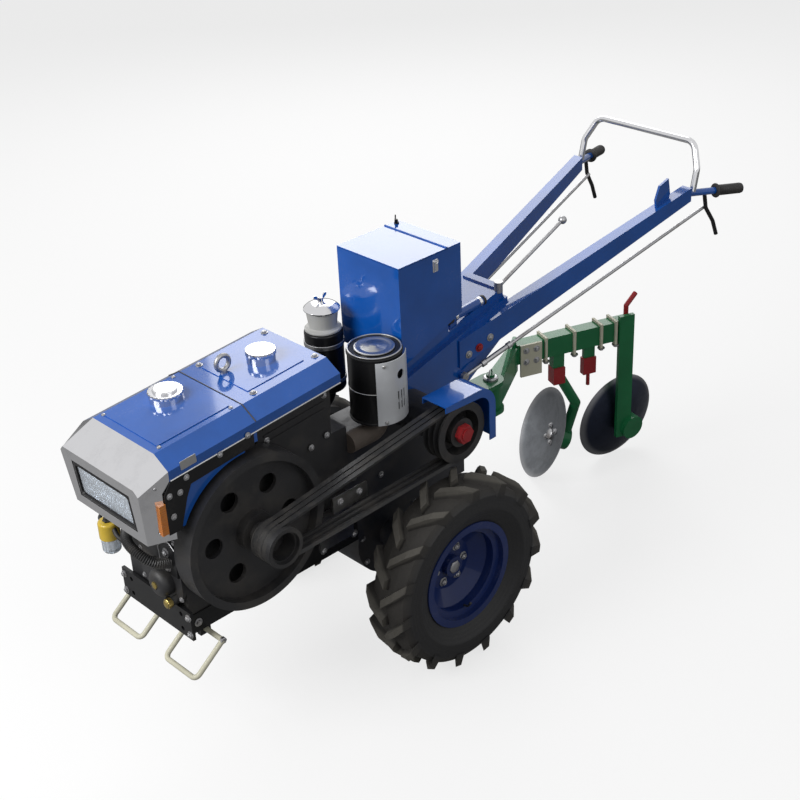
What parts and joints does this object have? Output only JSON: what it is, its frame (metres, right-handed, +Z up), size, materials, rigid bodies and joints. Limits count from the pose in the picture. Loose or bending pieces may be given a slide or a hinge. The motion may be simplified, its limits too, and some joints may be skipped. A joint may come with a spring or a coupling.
{
  "type": "walking tractor power tiller with disc plough",
  "caption": "Two-wheel walking tractor with a belt-driven diesel, long handlebars, a toolbox and a mounted disc plough on a yawed beam.",
  "frame": {"origin": "on the ground under the middle of the machine's bounding box, midway between nose and grips and between the tyres' outer sides", "axes": "+X forward, from the grips to the headlamp; +Y to the machine's left, the belt side; +Z up"},
  "size_m": [2.4666, 0.895, 1.291],
  "materials": {
    "amber_lens": "gloss",
    "bare_steel": "satin",
    "belt_rubber": "matte",
    "black_casting": "satin",
    "black_paint": "satin",
    "blue_paint": "gloss",
    "cast_pipe": "matte",
    "chrome": "polished",
    "cream_paint": "satin",
    "dark_disc": "satin",
    "disc_steel": "satin",
    "gearbox_casting": "satin",
    "green_paint": "gloss",
    "grip_rubber": "matte",
    "lens_glass": "gloss",
    "radiator_metal": "matte",
    "red_paint": "gloss",
    "rim_paint": "gloss",
    "tyre_rubber": "matte",
    "white_shield": "satin",
    "yellow_filter": "gloss"
  },
  "bodies": {
    "chassis": {"frame_rails": "black_paint", "front_cross_plate": "black_paint", "engine_block": "black_casting", "engine_covers": "black_casting", "cylinder_head": "black_casting", "radiator_hood": "blue_paint", "radiator_core": "radiator_metal", "fuel_tank": "blue_paint", "side_panels": "blue_paint", "side_brackets": "black_paint", "headlamp_shroud": "chrome", "headlamp_lens": "lens_glass", "marker_lamps": "amber_lens", "filler_caps": "chrome", "lifting_eye": "bare_steel", "exhaust_elbow": "cast_pipe", "muffler": "black_paint", "muffler_shield": "white_shield", "air_cleaner": "black_paint", "pre_cleaner": "chrome", "fuel_filter": "yellow_filter", "filter_bowl": "lens_glass", "gearbox": "gearbox_casting", "handle_frame": "blue_paint", "toolbox": "blue_paint", "handlebar_left": "blue_paint", "handlebar_right": "blue_paint", "handle_grips": "grip_rubber", "chrome_bar": "chrome", "gear_lever": "bare_steel", "clutch_lever": "blue_paint", "steering_levers": "black_paint", "pull_rods": "bare_steel", "v_belts": "belt_rubber", "belt_guard": "blue_paint", "tension_plate": "bare_steel", "hitch_bracket": "green_paint", "hitch_neck": "green_paint", "plough_beam": "green_paint", "plough_post_front": "green_paint", "plough_post_rear": "green_paint", "beam_clamps": "cream_paint", "scrapers": "red_paint", "depth_handle": "red_paint"},
    "wheel_left": {"wheel_left": "rim_paint", "tyre_left": "tyre_rubber"},
    "wheel_right": {"wheel_right": "rim_paint", "tyre_right": "tyre_rubber"},
    "flywheel": {"flywheel": "black_casting", "engine_pulley": "black_casting"},
    "clutch_pulley": {"clutch_pulley": "black_casting", "pulley_cap": "red_paint"},
    "toolbox_lid": {"toolbox_lid": "blue_paint"},
    "front_stand": {"front_stand": "cream_paint"},
    "disc_front": {"disc_front": "disc_steel"},
    "disc_rear": {"disc_rear": "dark_disc"}
  },
  "joints": [
    {"name": "wheel_left_turn", "type": "hinge", "parent": "chassis", "child": "wheel_left", "pos_m": [0.2745, 0.37, 0.32], "axis": [0, 1, 0], "continuous": true},
    {"name": "wheel_right_turn", "type": "hinge", "parent": "chassis", "child": "wheel_right", "pos_m": [0.2745, -0.37, 0.32], "axis": [0, 1, 0], "continuous": true},
    {"name": "flywheel_turn", "type": "hinge", "parent": "chassis", "child": "flywheel", "pos_m": [0.8915, 0.15, 0.697], "axis": [0, 1, 0], "continuous": true},
    {"name": "clutch_pulley_turn", "type": "hinge", "parent": "chassis", "child": "clutch_pulley", "pos_m": [0.1895, 0.26, 0.748], "axis": [0, 1, 0], "continuous": true},
    {"name": "disc_front_turn", "type": "hinge", "parent": "chassis", "child": "disc_front", "pos_m": [-0.7255, -0.15, 0.15896], "axis": [0.7912, -0.4568, 0.4067], "continuous": true},
    {"name": "disc_rear_turn", "type": "hinge", "parent": "chassis", "child": "disc_rear", "pos_m": [-0.9875, -0.012, 0.17334], "axis": [-0.173, -0.9811, 0.0872], "continuous": true},
    {"name": "toolbox_lid_swing", "type": "hinge", "parent": "chassis", "child": "toolbox_lid", "pos_m": [0.0455, 0.008, 1.24646], "axis": [0, -1, 0], "range_deg": [0, 100]},
    {"name": "front_stand_swing", "type": "hinge", "parent": "chassis", "child": "front_stand", "pos_m": [1.0445, 0, 0.4], "axis": [0, 1, 0], "range_deg": [-15, 55]}
  ],
  "couplings": [
    {"joint": "clutch_pulley_turn", "follows": "flywheel_turn", "ratio": 0.5892}
  ]
}
